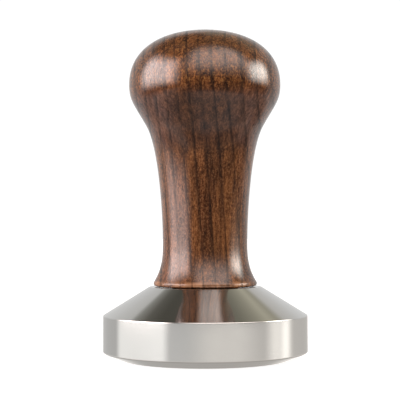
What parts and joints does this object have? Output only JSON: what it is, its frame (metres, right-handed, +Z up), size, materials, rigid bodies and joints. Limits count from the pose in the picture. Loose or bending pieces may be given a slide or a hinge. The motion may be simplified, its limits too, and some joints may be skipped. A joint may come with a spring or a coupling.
{
  "type": "espresso tamper",
  "caption": "Hand tamper for pressing ground coffee in a filter basket: turned wooden knob handle screwed on to a polished steel base with a cone and a flat face.",
  "frame": {"origin": "centre of the flat tamping face, which is the lowest face of the part", "axes": "+Z runs up the turning axis from the tamping face to the top of the knob; the part is a body of turning, so X and Y are free"},
  "size_m": [0.058, 0.058, 0.0934],
  "materials": {
    "polished_steel": "polished stainless steel with fine turning lines",
    "stained_wood": "turned wood, dark brown stain with near-black vertical grain, gloss lacquer",
    "brass": "machined brass",
    "zinc_steel": "zinc-plated steel screw",
    "black_rubber": "matt black rubber"
  },
  "bodies": {
    "base": {"base": "polished_steel"},
    "washer": {"washer": "black_rubber"},
    "handle": {"handle": "stained_wood", "threaded_insert": "brass", "stud": "zinc_steel"}
  },
  "joints": [
    {"name": "handle_turn", "type": "hinge", "parent": "base", "child": "washer", "pos_m": [0, 0, 0.0205], "axis": [0, 0, 1], "range_deg": [0, 3600]},
    {"name": "handle_rise", "type": "slide", "parent": "washer", "child": "handle", "axis": [0, 0, 1], "range_m": [0, 0.0125]}
  ],
  "couplings": [
    {"joint": "handle_turn", "follows": "handle_rise", "rad_per_m": 5026.5}
  ]
}
